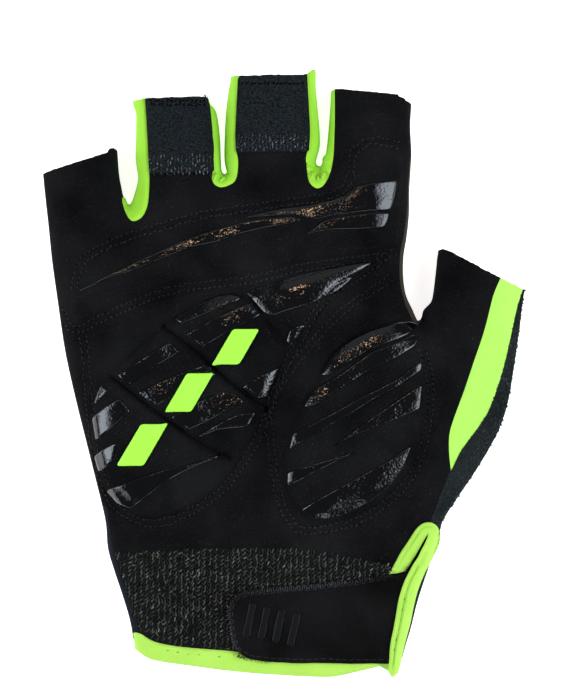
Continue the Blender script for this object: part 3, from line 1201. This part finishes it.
strap_edge = spaced(STRAP_LOOP, 0.6, closed=True)
beside = beside_of(strap_edge)
inward = beside if inside(strap_edge + 0.3 * beside, strap_edge).mean() > 0.5 else -beside
free = (strap_edge[:, 0] < plan_x(392)) & ((strap_edge[:, 1] > plan_y(632)) | (strap_edge[:, 0] < plan_x(240)))
seats = strap_edge[free] + inward[free] * 0.45 + rng.normal(0, 0.05, (free.sum(), 2))
seats = aim(seats, inward[free] + rng.normal(0, 0.25, seats.shape), 1.88)
threads("strap_serging", *seats, 1.15, 0.16, 0.14, SERGE_YARN, "strap_suede")
row = spaced(strap_edge + inward * 1.1, 1.9)
row = row[row[:, 0] < plan_x(388)]
nearest = [np.argmin(np.hypot(*(strap_edge - place).T)) for place in row]
threads("strap_stitches", *aim(row, beside[nearest][:, ::-1] * [1, -1], 2.02), 1.45, 0.16, 0.15, BLACK_THREAD,
        "strap_suede")
tufts = at([(236 + 34 * share, 655 + 6 * share) for share in rng.uniform(0, 1, 60)]) + rng.normal(0, 0.25, (60, 2))
threads("strap_fray", *aim(tufts, turned(len(tufts), -80, 45), 1.3), 1.0, 0.3, 0.045, FRAY, "strap_suede", sides=4)

hem_line = smooth([row[:2] for row in FRONT_HEM], 0.6)
row = spaced((hem_line + beside_of(hem_line) * 0.65)[hem_line[:, 0] < plan_x(236)][14:], 2.7)
seats = aim(midway(row) + rng.normal(0, 0.15, (len(row) - 1, 2)), np.diff(row, axis=0), 0.32, upright=True)
threads("front_hem_stitches", *seats, 0.8, 0.1, 0.16, LIME_THREAD, "lime_binding")
folds = at([(312.3, 175), (318, 178), (324, 174.5), (216, 177), (221.5, 180.5)])
seats = aim(folds, [(-0.35, 1), (0, 1), (0.35, 1), (0.1, 1), (0.7, 0.7)], -0.12)
threads("gusset_folds", *seats, 2.4, 0.35, 0.42, LIME, "lime_stretch", steps=9, sides=12)
slit_line = smooth([row[:2] for row in SLIT_PATH], 0.6)
row = (slit_line - beside_of(slit_line) * 0.72)[slit_line[:, 1] < plan_y(585)]
row = spaced(row[(row[:, 0] > plan_x(393)) & (row[:, 1] > plan_y(655))], 2.9)
threads("slit_tape_stitches", *aim(midway(row), np.diff(row, axis=0), 2.65, upright=True), 0.9, 0.06, 0.16,
        LIME_THREAD, "lime_binding")


KNIT_COLUMNS, KNIT_ROWS = np.arange(-45, 36, 1.55), np.arange(-78, -44, 1.12)


def knit_places():
    """A grid of knit loops over the cuff, bowed as the hem is and clear of the bindings."""
    columns, rows = np.meshgrid(KNIT_COLUMNS, KNIT_ROWS)
    grid = np.column_stack([columns.ravel(), rows.ravel()])
    grid[:, 1] += 0.005 * (grid[:, 0] + 5) ** 2
    grid += rng.normal(0, 0.13, grid.shape)
    kept = inside(grid, LOOPS["knit"]) & inside(grid, OUTLINE) & (distance(grid, hem_line) > 2.75)
    for name in ("strip_left", "strip_right", "slit"):
        kept &= ~inside(grid, LOOPS[name])
    return grid[kept]


grid = knit_places()
for label, lean, shift, yarn in (("right", 58, 0.36, KNIT_YARN), ("left", 118, -0.36, KNIT_SHADE)):
    seats = aim(grid + [shift, 0], turned(len(grid), lean, 20), 0.05)
    threads(f"cuff_knit_loops_{label}", *seats, 1.2, 0.34, 0.21, yarn, "cuff_knit", steps=4, sides=5)

terry_grid = honeycomb(*at([(430, 560), (540, 270)]), 0.62)
terry_grid += rng.normal(0, 0.12, terry_grid.shape)
terry_grid = terry_grid[inside(terry_grid, LOOPS["terry"]) & inside(terry_grid, OUTLINE)]
terry_grid = terry_grid[~inside(terry_grid, LOOPS["thumb_stripe"])]
threads("thumb_terry_loops", *aim(terry_grid, turned(len(terry_grid), 60, 60), -0.02), 0.9, 0.34, 0.18, TERRY,
        "thumb_terry", steps=4, sides=5)
lint = rng.uniform(OUTLINE.min(0), OUTLINE.max(0), (900, 2))
lint = lint[inside(lint, OUTLINE)]
lint = lint[(side_depth(lint)[0] > 4) & (lint[:, 1] > plan_y(535))]
for loop in [at(RING_TAB), at(MIDDLE_TAB)] + [LOOPS[name] for name in ("thumb_stripe", "terry", *TONGUES)]:
    lint = lint[~inside(lint, loop)]
threads("palm_lint", *aim(lint, turned(len(lint), 90, 90), 0.06), 0.42, 0.1, 0.055, SERGE_YARN, "palm_suede",
        sides=4)

# --- floor, light and camera ---
FLOOR, FLOOR_DROP = 3, 0.0001  # half its side and how far it lies under the glove, in metres
floor_mesh = bpy.data.meshes.new("floor")
floor_mesh.from_pydata([(x * FLOOR, y * FLOOR, -FLOOR_DROP) for x, y in ((-1, -1), (1, -1), (1, 1), (-1, 1))], [],
                       [(0, 1, 2, 3)])
floor = bpy.data.objects.new("floor", floor_mesh)
bpy.context.scene.collection.objects.link(floor)
floor_material, _, shader = new_material("pale_floor")
for label, value in (("Base Color", (0.88, 0.88, 0.88, 1)), ("Roughness", 0.9), ("Emission Color", (1, 1, 1, 1)),
                     ("Emission Strength", 0.8)):
    shader.inputs[label].default_value = value
floor_mesh.materials.append(floor_material)

world = bpy.data.worlds.new("studio")
world.use_nodes = True
world.node_tree.nodes["Background"].inputs["Color"].default_value = (1, 1, 1, 1)
world.node_tree.nodes["Background"].inputs["Strength"].default_value = 0.1
bpy.context.scene.world = world


def softbox(name, place, size, power, tint=(1, 1, 1)):
    """A square lamp aimed at the glove. A wider, weaker veil round a box softens the edge of its glint."""
    light = bpy.data.lights.new(name, "AREA")
    light.size = size
    light.energy = power
    light.color = tint
    lamp = bpy.data.objects.new(name, light)
    lamp.location = place
    lamp.rotation_euler = (Vector((0, 0, 0)) - Vector(place)).to_track_quat("-Z", "Y").to_euler()
    bpy.context.scene.collection.objects.link(lamp)


COOL, WARM = (0.95, 0.975, 1.0), (1.0, 0.6, 0.36)
softbox("left_box", (-1.0, -0.1, 0.78), 0.7, 7.8, COOL)
softbox("left_veil", (-1.01, -0.101, 0.788), 1.15, 10.6, COOL)
softbox("right_box", (0.95, 0.0, 0.84), 0.74, 8.2, COOL)
softbox("right_veil", (0.96, 0.0, 0.849), 1.2, 11, COOL)
softbox("finger_box", (0.0, 1.3, 1.0), 1.4, 2.5)
softbox("wrist_box", (0.1, -1.1, 0.9), 0.6, 3)
softbox("glint_lamp", (-0.16, 0.5, 1.36), 0.15, 1.6, WARM)

PICTURE = 575, 695
SENSOR = 24  # millimetres
CAMERA_HEIGHT, FOCUS_HEIGHT = 2.6, 0.008  # metres
camera_data = bpy.data.cameras.new("camera")
camera_data.sensor_fit = "VERTICAL"
camera_data.sensor_height = SENSOR
camera_data.lens = SENSOR * (CAMERA_HEIGHT - FOCUS_HEIGHT) / (PICTURE[1] * POINT * MM)
camera = bpy.data.objects.new("camera", camera_data)
camera.location = (plan_x(PICTURE[0] / 2) * MM, plan_y(PICTURE[1] / 2) * MM, CAMERA_HEIGHT)
bpy.context.scene.collection.objects.link(camera)
bpy.context.scene.camera = camera
bpy.context.scene.view_settings.view_transform = "Standard"
